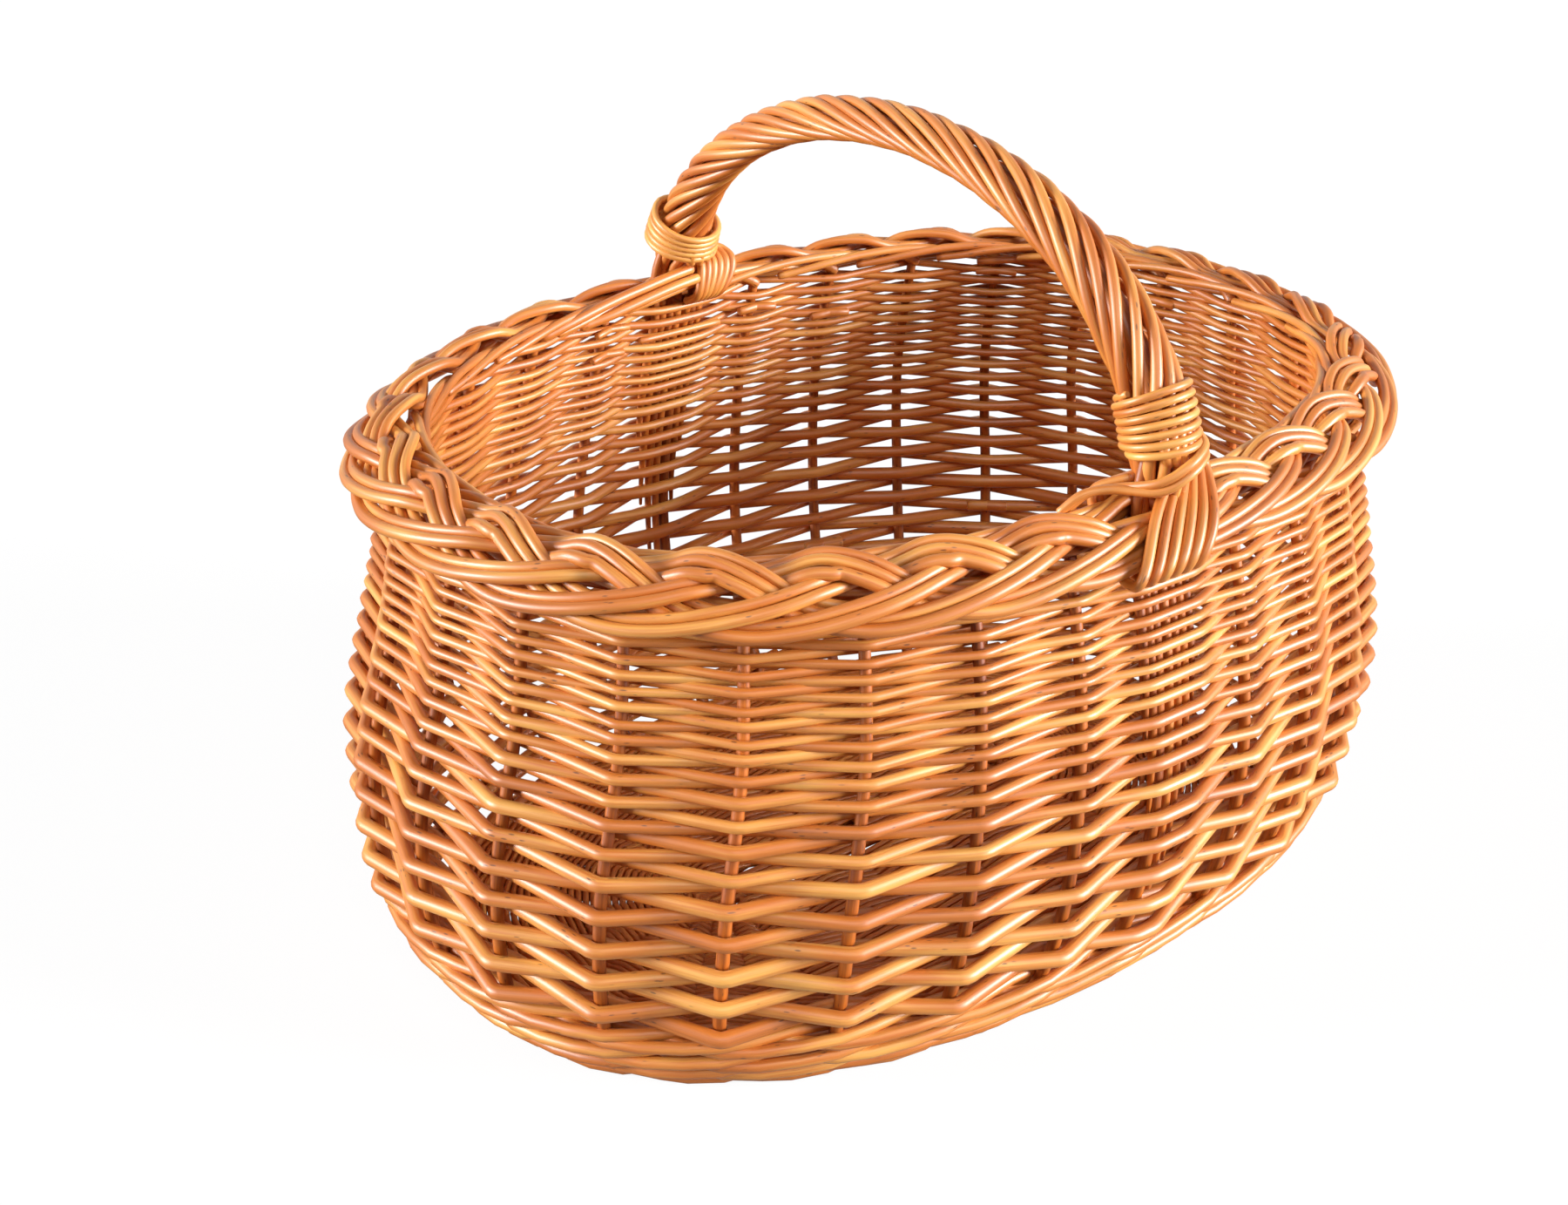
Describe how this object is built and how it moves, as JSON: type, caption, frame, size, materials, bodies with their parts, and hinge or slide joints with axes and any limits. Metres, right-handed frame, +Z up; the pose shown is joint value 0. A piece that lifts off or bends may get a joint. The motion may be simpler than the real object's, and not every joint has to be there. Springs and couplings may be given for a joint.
{
  "type": "wicker shopping basket",
  "caption": "Oval woven willow shopping basket with bellied openwork sides, a plaited border and a fixed roped bow handle across the middle.",
  "frame": {"origin": "centre of the oval base on the surface that the basket stands on", "axes": "+X along the basket's length, +Y across it in the plane of the bow handle, +Z up"},
  "size_m": [0.4585, 0.3442, 0.3265],
  "materials": {
    "stake_willow": "varnished buff willow, glossy, darker stakes",
    "siding_willow": "varnished buff willow, glossy, honey brown",
    "foot_wale_willow": "varnished buff willow, glossy, thicker rods",
    "border_willow": "varnished buff willow, glossy, pale honey",
    "base_willow": "varnished buff willow, satin",
    "handle_willow": "varnished buff willow, glossy, twisted rods",
    "binding_willow": "varnished buff willow, glossy, thin pale rods"
  },
  "bodies": {
    "root": {"base_floor": "base_willow", "foot_wale_rod_1": "foot_wale_willow", "foot_wale_rod_2": "foot_wale_willow", "foot_wale_rod_3": "foot_wale_willow", "foot_wale_rod_4": "foot_wale_willow", "foot_wale_rod_5": "foot_wale_willow", "siding_rod_a1": "siding_willow", "siding_rod_a2": "siding_willow", "siding_rod_a3": "siding_willow", "siding_rod_a4": "siding_willow", "siding_rod_a5": "siding_willow", "siding_rod_a6": "siding_willow", "siding_rod_b1": "siding_willow", "siding_rod_b2": "siding_willow", "siding_rod_b3": "siding_willow", "siding_rod_b4": "siding_willow", "siding_rod_b5": "siding_willow", "siding_rod_b6": "siding_willow", "border_strand_1": "border_willow", "border_strand_2": "border_willow", "border_strand_3": "border_willow", "handle_core": "handle_willow", "handle_rope_rod_1": "handle_willow", "handle_rope_rod_2": "handle_willow", "handle_rope_rod_3": "handle_willow", "handle_rope_rod_4": "handle_willow", "handle_rope_rod_5": "handle_willow", "handle_rope_rod_6": "handle_willow", "near_binding": "binding_willow", "far_binding": "binding_willow", "near_lashing": "binding_willow", "far_lashing": "binding_willow", "stake_01": "stake_willow", "stake_02": "stake_willow", "stake_03": "stake_willow", "stake_04": "stake_willow", "stake_05": "stake_willow", "stake_06": "stake_willow", "stake_07": "stake_willow", "stake_08": "stake_willow", "stake_09": "stake_willow", "stake_10": "stake_willow", "stake_11": "stake_willow", "stake_12": "stake_willow", "stake_13": "stake_willow", "stake_14": "stake_willow", "stake_15": "stake_willow", "stake_16": "stake_willow", "stake_17": "stake_willow", "stake_18": "stake_willow", "stake_19": "stake_willow", "stake_20": "stake_willow", "stake_21": "stake_willow", "stake_22": "stake_willow", "stake_23": "stake_willow", "stake_24": "stake_willow", "stake_25": "stake_willow", "stake_26": "stake_willow", "stake_27": "stake_willow", "stake_28": "stake_willow"}
  },
  "joints": []
}
